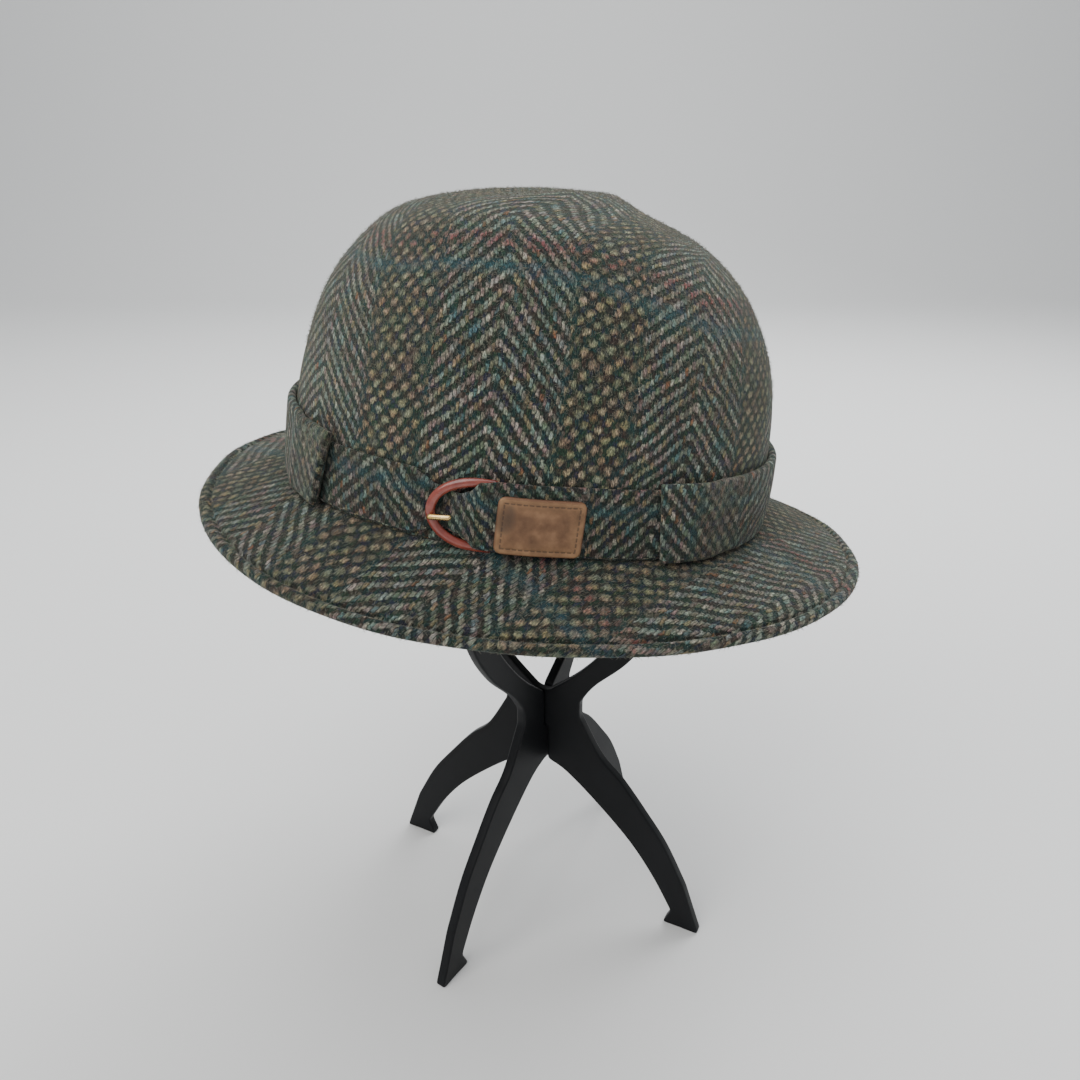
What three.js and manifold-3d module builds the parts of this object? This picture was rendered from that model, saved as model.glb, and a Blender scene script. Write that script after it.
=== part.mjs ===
// Soft tweed hat with a buckled band, resting on a stand of two slotted plates.
// Millimetres, +Z up. The buckle side faces -Y, and the hat leans a little down towards +X.

import * as THREE from 'three';
import { mergeVertices } from 'three/addons/utils/BufferGeometryUtils.js';
import Module from 'manifold-3d';

const wasm = await Module();
wasm.setup();

// Gap between pieces that touch
const seatGap = 0.3;

// Where the hat sits: the middle of its crown seam above the stand's foot, and its lean
const hatSeat = { x: -6.9, y: 0, z: 238, lean: THREE.MathUtils.degToRad(7.2) };

// The crown's cloth wall, and its sections from the seam up.
// A section is an oval of this half length and width, moved along X by its shift.
const crownWall = 2.5;
const ovalPower = 2.2;
const crownSections = [
  { height: 0, halfLength: 104, halfWidth: 87.5, shift: -1 },
  { height: 33, halfLength: 103, halfWidth: 86.5, shift: -1 },
  { height: 57, halfLength: 99, halfWidth: 83.5, shift: -1 },
  { height: 79, halfLength: 91, halfWidth: 78, shift: -2 },
  { height: 97, halfLength: 78.5, halfWidth: 69, shift: -2.5 },
  { height: 110, halfLength: 62, halfWidth: 57, shift: -4 },
  { height: 118, halfLength: 38.5, halfWidth: 41, shift: -3.5 },
  { height: 123, halfLength: 16.5, halfWidth: 23, shift: 6 },
  { height: 125, halfLength: 0, halfWidth: 0, shift: 15 },
];
const crownColumns = 56;
const crownRows = 16;
// The last ring, as a part of the way to the top, is closed flat
const crownTopPart = 0.97;

// The brim: its rim oval, how far the rim lies below the seam, and the waves in it round the hat
const brim = { halfLength: 147, halfWidth: 124, shift: 4, drop: 17, thickness: 3, columns: 72 };
const brimWaves = [
  { count: 1, cosine: 0, sine: -2.4 },
  { count: 2, cosine: 5, sine: -3.6 },
];
const brimSpread = [0, 0.25, 0.5, 0.75, 0.96];

// The band round the crown. Lengths along it start at the middle of the buckle side and run to +X.
// Each end leans, so the end is given at the seam and at the band's top.
const band = { low: seatGap, high: 32, thickness: 3.6, round: 1.4, stations: 58 };
const bandRightEnd = { atSeam: 51, atTop: 46 };
const bandLeftEnd = { atSeam: -85, atTop: -78 };
const bandEndLap = { flat: 20, ramp: 12 };

// The strap from end to end: how far it stands off the crown, and its lower and upper edge.
// It runs under the buckle's round side, up through the frame and over the bar.
const strapThickness = 1.6;
const strapStep = 2;
const strapRun = [
  { along: -92, offset: seatGap, low: 1.5, high: 26.5 },
  { along: -44, offset: seatGap, low: 1.5, high: 27 },
  { along: -34, offset: seatGap, low: 5, high: 22.2 },
  { along: -30, offset: seatGap, low: 5.8, high: 21.4 },
  { along: -25, offset: 3, low: 5.8, high: 21.4 },
  { along: -22, offset: 4.2, low: 4.5, high: 23 },
  { along: -18, offset: 4.3, low: 1.5, high: 27 },
  { along: -11, offset: 3.4, low: 1, high: 28 },
  { along: 26, offset: seatGap, low: 1, high: 28.5 },
  { along: 60, offset: seatGap, low: 1, high: 29 },
];

// The buckle frame: a half oval on the left, two arms and a straight bar on the right
const buckle = {
  armStart: -19,
  barAlong: -13,
  reach: 16.5,
  middle: 13.6,
  halfHeight: 12.3,
  wireWidth: 3.6,
  wireDepth: 2.6,
  wireSides: 8,
  bendSteps: 18,
  leftOffset: 4,
  rightOffset: 2,
};
const pin = { from: -36.6, to: -26.6, height: 11.3, diameter: 2, tipPart: 0.6, sides: 10 };
const tag = { from: -11.5, to: 20, low: 1.6, high: 23.6, corner: 3, thickness: 1.5 };
const tagCornerParts = [0, 0.15, 0.5, 1];
const tagMiddleParts = [0.2, 0.4, 0.6, 0.8];

// The stand: two equal plates, their directions about the axis, and the slots that cross at the hub
const plate = { thickness: 5, edgeRound: 1.3, footReach: 91.7, hubMiddle: 103, slotHalf: 3.2 };
const plateTurns = { a: THREE.MathUtils.degToRad(55.9), b: THREE.MathUtils.degToRad(-27.2) };
const spot = (reach, height) => new THREE.Vector2(reach, height);
const legUnderside = [
  spot(plate.slotHalf, 82),
  spot(14.5, 77),
  spot(33, 62.5),
  spot(51.5, 45),
  spot(65, 27.5),
  spot(76, 9),
];
const foot = [spot(72, 0), spot(plate.footReach, 0)];
const legOutside = [
  spot(82, 27),
  spot(70.5, 48.5),
  spot(59, 64),
  spot(45, 81),
  spot(33, 92.5),
  spot(21, 113),
];
const prongOutside = [
  spot(21, 122),
  spot(29, 134),
  spot(45.5, 151.5),
  spot(58.5, 173),
  spot(67, 202),
  spot(70, 240),
  spot(65, 284),
  spot(52, 322),
  spot(44, 374),
];
const prongInside = [
  spot(32, 374),
  spot(40, 319),
  spot(52.5, 281),
  spot(57.5, 240),
  spot(54.5, 205),
  spot(47, 178),
  spot(35.5, 158),
  spot(20, 139),
  spot(plate.slotHalf, 124),
];
const plateCurvePoints = 14;

const tweed = new THREE.MeshStandardMaterial({ color: 0x57584a, roughness: 0.95, metalness: 0 });
const bandTweed = new THREE.MeshStandardMaterial({ color: 0x53554a, roughness: 0.95, metalness: 0 });
const buckleGloss = new THREE.MeshStandardMaterial({ color: 0x7a3426, roughness: 0.25, metalness: 0 });
const brass = new THREE.MeshStandardMaterial({ color: 0xc8a45a, roughness: 0.3, metalness: 1 });
const tanLeather = new THREE.MeshStandardMaterial({ color: 0x8a6138, roughness: 0.6, metalness: 0 });
const blackPlastic = new THREE.MeshStandardMaterial({ color: 0x16171a, roughness: 0.45, metalness: 0 });

// An oval that starts at the middle of the buckle side and runs to +X
class OvalCurve extends THREE.Curve {
  constructor(halfLength, halfWidth) {
    super();
    this.halfLength = halfLength;
    this.halfWidth = halfWidth;
  }

  getPoint(part, target = new THREE.Vector3()) {
    const angle = 2 * Math.PI * part - Math.PI / 2;
    const bend = (value) => Math.sign(value) * Math.abs(value) ** (2 / ovalPower);
    return target.set(this.halfLength * bend(Math.cos(angle)), this.halfWidth * bend(Math.sin(angle)), 0);
  }
}

// A closed body through loops of equally many points. A ring of loops has no ends; others are capped.
function loft(loops, isRing = false) {
  const count = loops[0].length;
  const points = loops.flat();
  const triangles = [];
  const last = isRing ? loops.length : loops.length - 1;
  for (let row = 0; row < last; row += 1) {
    const here = row * count;
    const above = ((row + 1) % loops.length) * count;
    for (let column = 0; column < count; column += 1) {
      const next = (column + 1) % count;
      triangles.push(here + column, here + next, above + next, here + column, above + next, above + column);
    }
  }
  if (!isRing) {
    for (const [start, loop] of [[0, loops[0]], [(loops.length - 1) * count, loops.at(-1)]]) {
      const middle = loop.reduce((sum, point) => sum.add(point), new THREE.Vector3()).divideScalar(count);
      const centre = points.push(middle) - 1;
      for (let column = 0; column < count; column += 1) {
        const edge = [start + (column + 1) % count, start + column];
        triangles.push(centre, ...(start === 0 ? edge : edge.reverse()));
      }
    }
  }
  const geometry = new THREE.BufferGeometry().setFromPoints(points);
  geometry.setIndex(enclosedVolume(points, triangles) < 0 ? triangles.reverse() : triangles);
  geometry.computeVertexNormals();
  return geometry;
}

// Volume inside the triangles, negative where they face inwards
function enclosedVolume(points, triangles) {
  const cross = new THREE.Vector3();
  let volume = 0;
  for (let first = 0; first < triangles.length; first += 3) {
    const [a, b, c] = triangles.slice(first, first + 3).map((index) => points[index]);
    volume += cross.crossVectors(a, b).dot(c) / 6;
  }
  return volume;
}

function toSolid(geometry) {
  const bare = new THREE.BufferGeometry();
  bare.setAttribute('position', geometry.getAttribute('position'));
  bare.setIndex(geometry.getIndex());
  const merged = mergeVertices(bare, 1e-3);
  const vertProperties = new Float32Array(merged.getAttribute('position').array);
  const triVerts = new Uint32Array(merged.getIndex().array);
  return new wasm.Manifold(new wasm.Mesh({ numProp: 3, vertProperties, triVerts }));
}

function toGeometry(solid) {
  const { vertProperties, triVerts } = solid.getMesh();
  const geometry = new THREE.BufferGeometry();
  geometry.setAttribute('position', new THREE.BufferAttribute(vertProperties, 3));
  geometry.setIndex(new THREE.BufferAttribute(triVerts, 1));
  geometry.computeVertexNormals();
  return geometry;
}

function addPiece(parent, name, geometry, material) {
  const mesh = new THREE.Mesh(geometry, material);
  mesh.name = name;
  parent.add(mesh);
}

// The crown's end line and side line, from the seam to the top, through the rows of its table
const smoothLine = (points) => new THREE.CatmullRomCurve3(points, false, 'catmullrom');
const crownEndLine = smoothLine(
  crownSections.map(({ height, halfLength, shift }) => new THREE.Vector3(halfLength, shift, height)),
);
const crownSideLine = smoothLine(
  crownSections.map(({ height, halfWidth }) => new THREE.Vector3(halfWidth, 0, height)),
);

// One ring of the crown at a part of its lines, moved inwards by the inset
function crownRing(part, inset) {
  const { x: halfLength, y: shift, z: height } = crownEndLine.getPoint(part);
  const halfWidth = crownSideLine.getPoint(part).x;
  const slope = crownSideLine.getTangent(part);
  const inwards = inset * slope.z;
  const oval = new OvalCurve(halfLength - inwards, halfWidth - inwards);
  const lift = new THREE.Vector3(shift, 0, height + inset * slope.x);
  return oval.getSpacedPoints(crownColumns).slice(0, crownColumns).map((point) => point.add(lift));
}

function crownRings(inset) {
  const rows = Array.from({ length: crownRows + 1 }, (_, row) => row / crownRows);
  return rows.map((part) => crownRing(crownTopPart * part, inset));
}

const lower = (ring, depth) => ring.map((point) => point.clone().setZ(point.z - depth));

function makeCrown() {
  const hollow = crownRings(crownWall);
  const outside = toSolid(loft(crownRings(0)));
  return toGeometry(outside.subtract(toSolid(loft([lower(hollow[0], crownWall), ...hollow]))));
}

// The brim runs from the crown's inner edge, under its wall, out to the waved rim
function makeBrim() {
  const base = crownSections[0];
  const inner = new OvalCurve(base.halfLength - crownWall, base.halfWidth - crownWall);
  const wallFoot = new OvalCurve(base.halfLength, base.halfWidth);
  const rim = new OvalCurve(brim.halfLength, brim.halfWidth);
  const loops = [];
  for (let column = 0; column < brim.columns; column += 1) {
    const part = column / brim.columns;
    const angle = 2 * Math.PI * part - Math.PI / 2;
    let rimHeight = -brim.drop;
    for (const { count, cosine, sine } of brimWaves) {
      rimHeight += cosine * Math.cos(count * angle) + sine * Math.sin(count * angle);
    }
    const innerEdge = inner.getPointAt(part).add(new THREE.Vector3(base.shift, 0, -seatGap));
    const start = wallFoot.getPointAt(part).add(new THREE.Vector3(base.shift, 0, -seatGap));
    const end = rim.getPointAt(part).add(new THREE.Vector3(brim.shift, 0, rimHeight));
    const top = [innerEdge, ...brimSpread.map((spread) => start.clone().lerp(end, spread))];
    const edge = end.clone().setZ(end.z - brim.thickness / 2);
    loops.push([...top, edge, ...lower(top, brim.thickness).reverse()]);
  }
  return loft(loops, true);
}

// The crown's half width at a height on its upright wall, found by halving
function halfWidthAt(height) {
  let [below, above] = [0, 0.5];
  for (let halving = 0; halving < 16; halving += 1) {
    const part = (below + above) / 2;
    if (crownSideLine.getPoint(part).z < height) {
      below = part;
    } else {
      above = part;
    }
  }
  return crownSideLine.getPoint(below).x;
}

// A point on the outside of the crown's upright wall: along it, above the seam, and out from it
const wallOval = new OvalCurve(crownSections[0].halfLength, crownSections[0].halfWidth);
const wallLength = wallOval.getLength();

function onCrown(along, height, offset) {
  const part = THREE.MathUtils.euclideanModulo(along / wallLength, 1);
  const point = wallOval.getPointAt(part);
  const tangent = wallOval.getTangentAt(part);
  const seam = crownSections[0];
  const out = offset - (seam.halfWidth - halfWidthAt(height));
  return point.add(new THREE.Vector3(tangent.y * out + seam.shift, -tangent.x * out, height));
}

// The band goes the long way round, from the end right of the buckle to the end left of it
function makeBand() {
  const { low, high, thickness, round, stations } = band;
  const section = [
    { offset: 0, height: low },
    { offset: 0, height: (low + high) / 2 },
    { offset: 0, height: high - round },
    { offset: round / 2, height: high },
    { offset: thickness - round, height: high },
    { offset: thickness, height: high - round },
    { offset: thickness + round / 4, height: (low + high) / 2 },
    { offset: thickness, height: low },
  ];
  const loops = [];
  for (let station = 0; station <= stations; station += 1) {
    const part = station / stations;
    loops.push(section.map(({ offset, height }) => {
      const rise = height / high;
      const from = THREE.MathUtils.lerp(bandRightEnd.atSeam, bandRightEnd.atTop, rise);
      const to = wallLength + THREE.MathUtils.lerp(bandLeftEnd.atSeam, bandLeftEnd.atTop, rise);
      const toEnd = Math.min(part, 1 - part) * (to - from);
      const lap = 1 - THREE.MathUtils.smoothstep(toEnd, bandEndLap.flat, bandEndLap.flat + bandEndLap.ramp);
      const stand = seatGap + lap * (strapThickness + seatGap);
      return onCrown(THREE.MathUtils.lerp(from, to, part), height, offset + stand);
    }));
  }
  return loft(loops);
}

// The strap's offset and edges at a length along it, eased between the rows of its table
function strapAt(along) {
  const next = Math.max(1, strapRun.findIndex((row) => row.along >= along));
  const [before, after] = [strapRun[next - 1], strapRun[next]];
  const eased = THREE.MathUtils.smoothstep(along, before.along, after.along);
  const blend = (column) => THREE.MathUtils.lerp(before[column], after[column], eased);
  return { offset: blend('offset'), low: blend('low'), high: blend('high') };
}

function makeStrap() {
  const loops = [];
  for (let along = strapRun[0].along; along <= strapRun.at(-1).along; along += strapStep) {
    const { offset, low, high } = strapAt(along);
    const soft = strapThickness / 3;
    loops.push([
      onCrown(along, low + soft, offset),
      onCrown(along, high - soft, offset),
      onCrown(along, high, offset + soft),
      onCrown(along, high - soft, offset + strapThickness),
      onCrown(along, low + soft, offset + strapThickness),
      onCrown(along, low, offset + soft),
    ]);
  }
  return loft(loops);
}

// How far the middle of the buckle's wire stands off the crown: the frame leans under the strap
function buckleOffset(along) {
  const left = buckle.armStart - buckle.reach;
  return THREE.MathUtils.mapLinear(along, left, buckle.barAlong, buckle.leftOffset, buckle.rightOffset);
}

function makeBuckle() {
  const { armStart, barAlong, reach, middle, halfHeight, bendSteps } = buckle;
  const { wireWidth, wireDepth, wireSides } = buckle;
  const route = [spot(barAlong, middle), spot(barAlong, middle + halfHeight)];
  for (let step = 0; step <= bendSteps; step += 1) {
    const angle = Math.PI * (0.5 + step / bendSteps);
    route.push(spot(armStart + reach * Math.cos(angle), middle + halfHeight * Math.sin(angle)));
  }
  route.push(spot(barAlong, middle - halfHeight));
  const loops = route.map((place, index) => {
    const before = route.at(index - 1);
    const after = route[(index + 1) % route.length];
    const ahead = after.clone().sub(before).normalize();
    return Array.from({ length: wireSides }, (_, side) => {
      const turn = (2 * Math.PI * side) / wireSides;
      const across = (wireWidth / 2) * Math.cos(turn);
      const out = buckleOffset(place.x) + (wireDepth / 2) * Math.sin(turn);
      return onCrown(place.x - ahead.y * across, place.y + ahead.x * across, out);
    });
  });
  return loft(loops, true);
}

// The pin lies from the strap's hole across the round side of the frame
function makePin() {
  const { from, to, height, diameter, tipPart, sides } = pin;
  const radius = diameter / 2;
  const frameTop = buckle.leftOffset + buckle.wireDepth / 2;
  const ends = [
    { along: from, size: tipPart },
    { along: from + radius / 2, size: 1 },
    { along: to, size: 1 },
  ];
  return loft(ends.map(({ along, size }) => Array.from({ length: sides }, (_, side) => {
    const turn = (2 * Math.PI * side) / sides;
    const offset = frameTop + seatGap + radius + size * radius * Math.sin(turn);
    return onCrown(along, height + size * radius * Math.cos(turn), offset);
  })));
}

// The tag is a plain rounded rectangle of leather on the strap
function makeTag() {
  const { from, to, low, high, corner, thickness } = tag;
  const reaches = tagCornerParts.map((part) => part * corner);
  const places = [
    ...reaches.map((reach) => from + reach),
    ...tagMiddleParts.map((part) => THREE.MathUtils.lerp(from, to, part)),
    ...reaches.reverse().map((reach) => to - reach),
  ];
  return loft(places.map((along) => {
    const toEnd = Math.min(along - from, to - along, corner);
    const cut = corner - Math.sqrt(corner ** 2 - (corner - toEnd) ** 2);
    const base = strapAt(along).offset + strapThickness + seatGap;
    return [
      onCrown(along, low + cut, base),
      onCrown(along, high - cut, base),
      onCrown(along, high - cut, base + thickness),
      onCrown(along, low + cut, base + thickness),
    ];
  }));
}

// One plate standing on the floor, before it is turned. Its slot opens at the top or the bottom of the hub.
function makePlate(slotOpensUp) {
  const curve = (points) => new THREE.SplineCurve(points).getPoints(plateCurvePoints);
  const { thickness, edgeRound, hubMiddle, slotHalf } = plate;
  const slotEnd = spot(slotHalf, hubMiddle + (slotOpensUp ? -seatGap / 2 : seatGap / 2));
  const right = [
    ...curve(legUnderside),
    ...foot,
    ...curve(legOutside),
    ...curve(prongOutside),
    ...curve(prongInside),
  ];
  if (slotOpensUp) {
    right.push(slotEnd);
  } else {
    right.unshift(slotEnd);
  }
  const left = right.map(({ x, y }) => spot(-x, y)).reverse();
  const geometry = new THREE.ExtrudeGeometry(new THREE.Shape([...right, ...left]), {
    depth: thickness - 2 * edgeRound,
    bevelThickness: edgeRound,
    bevelSize: edgeRound,
    bevelOffset: -edgeRound,
    bevelSegments: 2,
  });
  return geometry.translate(0, 0, edgeRound - thickness / 2).rotateX(Math.PI / 2);
}

// The room that the stand may fill: everything below the brim, and the crown's hollow less the gap
function makeStandRoom(hatMatrix) {
  const wide = 2 * plate.footReach;
  const belowBrim = 60;
  const hollow = crownRings(crownWall + seatGap);
  const collar = lower(hollow[0], belowBrim);
  const disc = collar.map(({ x, y, z }) => new THREE.Vector3(x, y, z).setLength(wide).setZ(z));
  const floorDisc = lower(disc, hatSeat.z);
  return toSolid(loft([floorDisc, disc, collar, ...hollow]).applyMatrix4(hatMatrix));
}

const hat = new THREE.Group();
hat.position.set(hatSeat.x, hatSeat.y, hatSeat.z);
hat.rotation.y = hatSeat.lean;
hat.updateMatrix();
addPiece(hat, 'crown', makeCrown(), tweed);
addPiece(hat, 'brim', makeBrim(), tweed);
addPiece(hat, 'hat_band', makeBand(), bandTweed);
addPiece(hat, 'strap', makeStrap(), bandTweed);
addPiece(hat, 'buckle', makeBuckle(), buckleGloss);
addPiece(hat, 'buckle_pin', makePin(), brass);
addPiece(hat, 'leather_tag', makeTag(), tanLeather);

const stand = new THREE.Group();
const standRoom = makeStandRoom(hat.matrix);
for (const [letter, turn] of Object.entries(plateTurns)) {
  const turned = makePlate(letter === 'a').rotateZ(turn);
  addPiece(stand, `stand_plate_${letter}`, toGeometry(toSolid(turned).intersect(standRoom)), blackPlastic);
}

// The origin is the middle of the bottom of the whole part's box
const group = new THREE.Group();
group.add(hat, stand);
const box = new THREE.Box3().setFromObject(group, true);
const middle = box.getCenter(new THREE.Vector3());
group.position.set(-middle.x, -middle.y, -box.min.z);

export default group;
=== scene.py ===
import math
from functools import partial

import bmesh
import bpy
import numpy as np
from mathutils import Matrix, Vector


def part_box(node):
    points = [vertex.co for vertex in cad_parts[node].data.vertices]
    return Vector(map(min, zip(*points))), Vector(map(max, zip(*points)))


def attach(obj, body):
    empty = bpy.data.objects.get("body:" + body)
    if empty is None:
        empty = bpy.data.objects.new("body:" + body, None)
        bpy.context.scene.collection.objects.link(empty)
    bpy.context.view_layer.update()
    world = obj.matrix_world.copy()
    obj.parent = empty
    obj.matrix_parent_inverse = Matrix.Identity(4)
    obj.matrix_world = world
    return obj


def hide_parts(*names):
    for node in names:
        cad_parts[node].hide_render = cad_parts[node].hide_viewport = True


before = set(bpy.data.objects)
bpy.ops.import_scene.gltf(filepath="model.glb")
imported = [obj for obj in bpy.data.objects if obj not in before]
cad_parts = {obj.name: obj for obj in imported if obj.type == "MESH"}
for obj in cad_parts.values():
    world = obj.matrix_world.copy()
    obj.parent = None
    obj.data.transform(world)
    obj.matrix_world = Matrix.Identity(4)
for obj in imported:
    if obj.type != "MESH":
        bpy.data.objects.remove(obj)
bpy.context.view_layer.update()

mm = 0.001

# Shapes are worked out in millimetres. The hat has a frame of its own: the middle of its crown seam,
# Z up the crown, the buckle side at -Y.
hatSeat = {"x": -6.9, "z": 238.0, "lean": 7.2}
plateLow, plateHigh = (np.array(corner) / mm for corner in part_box("stand_plate_a"))
standAxis = (plateLow + plateHigh)[:2] / 2  # both ends of a plate reach equally far


# turned about Y: x cos + z sin, and z cos - x sin
def turnAboutY(points, turn):
    x, y, z = np.moveaxis(points, -1, 0)
    return np.stack([x * math.cos(turn) + z * math.sin(turn), y, z * math.cos(turn) - x * math.sin(turn)], -1)


hatLean = math.radians(hatSeat["lean"])
hatPlace = np.array([hatSeat["x"] + standAxis[0], standAxis[1], hatSeat["z"]])


# hat frame to world: turned by the lean, then moved to the seat
def placeHat(points):
    return turnAboutY(points, hatLean) + hatPlace


# the way back, from the world to the hat frame
def intoHat(points):
    return turnAboutY(points - hatPlace, -hatLean)


# 0 below the first value, 1 above the second, eased between them
def easeStep(value, first, second):
    part = np.clip((value - first) / (second - first), 0, 1)
    return part * part * (3 - 2 * part)


# a smooth line through the rows of a table (Catmull-Rom), read at parts of its way from 0 to 1
def smoothRows(table, part):
    table = np.asarray(table, float)
    rows = np.vstack([2 * table[0] - table[1], table, 2 * table[-1] - table[-2]])
    place = np.clip(part, 0, 1) * (len(table) - 1)
    first = np.minimum(place.astype(int), len(table) - 2)
    step = (place - first)[..., None]
    a, b, c, d = (rows[first + offset] for offset in range(4))
    square = 2 * a - 5 * b + 4 * c - d
    cube = 3 * b - a - 3 * c + d
    return 0.5 * (2 * b + (c - a) * step + square * step**2 + cube * step**3)


# running length along an axis of a point grid, starting at 0
def runningLength(points, axis):
    steps = np.linalg.norm(np.diff(points, axis=axis), axis=-1)
    zero = np.zeros_like(np.take(steps, [0], axis=axis))
    return np.concatenate([zero, np.cumsum(steps, axis=axis)], axis=axis)


# unit normals of a grid: the cross product of its two directions
def gridNormals(points):
    normal = np.cross(np.gradient(points, axis=1), np.gradient(points, axis=0))
    size = np.linalg.norm(normal, axis=-1, keepdims=True)
    return np.where(size > 1e-9, normal / np.maximum(size, 1e-9), [0.0, 0.0, 1.0])


# Grids of points (rows x columns, world millimetres) become quads with the grid's own cloth coordinates.
# Grids that share a border are welded there; a capped grid gets its first and last row closed flat.
def addPiece(name, node, material, grids, capped=False):
    points, faces, marks, start = [], [], [], 0
    for grid, cloth in grids:
        rows, columns = grid.shape[:2]
        index = np.arange(rows * columns).reshape(rows, columns) + start
        quads = np.stack([index[:-1, :-1], index[:-1, 1:], index[1:, 1:], index[1:, :-1]], -1).reshape(-1, 4)
        faces += quads.tolist()
        points.append(grid.reshape(-1, 3) * mm)
        marks.append(cloth.reshape(-1, 2))
        start += rows * columns
    quadCount = len(faces)
    if capped:
        faces += [index[0, :-1].tolist(), index[-1, :-1].tolist()[::-1]]
    mesh = bpy.data.meshes.new(name)
    mesh.from_pydata(np.concatenate(points).tolist(), [], faces)
    corners = np.concatenate([np.array(face) for face in faces[quadCount:]] or [np.zeros(0, int)])
    corners = np.concatenate([np.array(faces[:quadCount]).ravel(), corners]).astype(int)
    layer = mesh.uv_layers.new(name="cloth")
    layer.data.foreach_set("uv", np.concatenate(marks)[corners].astype(np.float32).ravel())
    mesh.polygons.foreach_set("use_smooth", np.arange(len(faces)) < quadCount)
    shape = bmesh.new()
    shape.from_mesh(mesh)
    bmesh.ops.remove_doubles(shape, verts=shape.verts, dist=2e-6)
    bmesh.ops.recalc_face_normals(shape, faces=shape.faces)
    shape.to_mesh(mesh)
    shape.free()
    mesh.materials.append(material)
    piece = bpy.data.objects.new(name, mesh)
    bpy.context.scene.collection.objects.link(piece)
    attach(piece, "root")
    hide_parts(node)
    triangles = sum(len(face.vertices) - 2 for face in mesh.polygons)
    print("piece", name, triangles, "triangles")


# one Math node: plain numbers become its values, sockets are linked to it
def calc(tree, operation, *values, clamp=False):
    node = tree.nodes.new("ShaderNodeMath")
    node.operation = operation
    node.use_clamp = clamp
    for place, value in enumerate(values):
        if isinstance(value, (int, float)):
            node.inputs[place].default_value = value
        else:
            tree.links.new(value, node.inputs[place])
    return node.outputs[0]


# colour mix of two colours (sockets or plain) by a part
def mixColour(tree, part, first, second, way="MIX"):
    node = tree.nodes.new("ShaderNodeMix")
    node.data_type = "RGBA"
    node.blend_type = way
    for name, value in (("Factor_Float", part), ("A_Color", first), ("B_Color", second)):
        socket = next(entry for entry in node.inputs if entry.identifier == name)
        if isinstance(value, bpy.types.NodeSocket):
            tree.links.new(value, socket)
        else:
            socket.default_value = value if isinstance(value, (int, float)) else (*value, 1.0)
    return next(entry for entry in node.outputs if entry.identifier == "Result_Color")


# noise of a given size in 1/mm (or 1/m on object coordinates)
def addNoise(tree, place, size, detail=2.0, rough=0.5):
    node = tree.nodes.new("ShaderNodeTexNoise")
    node.inputs["Scale"].default_value = size
    node.inputs["Detail"].default_value = detail
    node.inputs["Roughness"].default_value = rough
    tree.links.new(place, node.inputs["Vector"])
    return node


# stepped or smooth colour ramp from (place, colour) rows
def addRamp(tree, value, rows, stepped=False):
    node = tree.nodes.new("ShaderNodeValToRGB")
    ramp = node.color_ramp
    ramp.interpolation = "CONSTANT" if stepped else "LINEAR"
    for place, colour in rows[2:]:
        ramp.elements.new(place)
    for element, (place, colour) in zip(ramp.elements, rows):
        element.position = place
        element.color = (*colour, 1.0)
    tree.links.new(value, node.inputs["Fac"])
    return node.outputs["Color"]


# an empty node group with the named inputs and outputs: its tree, and the sockets inside it
def newGroup(name, inputs, outputs):
    tree = bpy.data.node_groups.new(name, "ShaderNodeTree")
    kinds = {"vector": "NodeSocketVector", "value": "NodeSocketFloat", "colour": "NodeSocketColor"}
    for label, kind, value in inputs:
        socket = tree.interface.new_socket(label, in_out="INPUT", socket_type=kinds[kind])
        if value is not None:
            socket.default_value = value
    for label, kind in outputs:
        tree.interface.new_socket(label, in_out="OUTPUT", socket_type=kinds[kind])
    return tree, tree.nodes.new("NodeGroupInput").outputs, tree.nodes.new("NodeGroupOutput").inputs


# yarn colours (linear) and the cloth's draft in millimetres
tweedCloth = {
    "herringWidth": 48.0,
    "repeat": 75.0,
    "warpPitch": 1.45,
    "weftPitch": 1.53,
    "slant": 0.35,
    "lightPicks": 2.25,
    "dotAcross": 6.0,
    "dotUp": 7.0,
    "checkRepeat": 96.0,
    "lightYarns": [
        (0.0, (0.235, 0.228, 0.190)), (0.22, (0.330, 0.325, 0.285)), (0.36, (0.220, 0.178, 0.168)),
        (0.52, (0.240, 0.198, 0.130)), (0.64, (0.150, 0.172, 0.128)), (0.74, (0.200, 0.238, 0.222)),
        (0.93, (0.215, 0.115, 0.070)), (0.95, (0.105, 0.160, 0.170)),
    ],
    "dotYarn": (0.300, 0.240, 0.135),
    "darkYarns": [
        (0.0, (0.020, 0.026, 0.024)), (0.30, (0.014, 0.032, 0.034)), (0.48, (0.032, 0.027, 0.024)),
        (0.64, (0.018, 0.036, 0.026)), (0.80, (0.020, 0.024, 0.040)), (0.92, (0.066, 0.060, 0.050)),
    ],
    "rust": (0.225, 0.085, 0.085),
    "blue": (0.024, 0.057, 0.072),
    "teal": (0.014, 0.040, 0.042),
    "paleBlue": (0.095, 0.140, 0.150),
    "specks": [(0.30, (0.30, 0.32, 0.32)), (0.5, (0.95, 0.95, 0.95)), (0.70, (2.15, 2.08, 2.02))],
    "tints": [
        (0.32, (0.80, 1.04, 1.10)), (0.43, (0.90, 1.08, 0.92)), (0.52, (1.06, 1.00, 0.88)),
        (0.60, (1.14, 0.92, 0.94)), (0.70, (0.96, 1.00, 1.02)),
    ],
}


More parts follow.
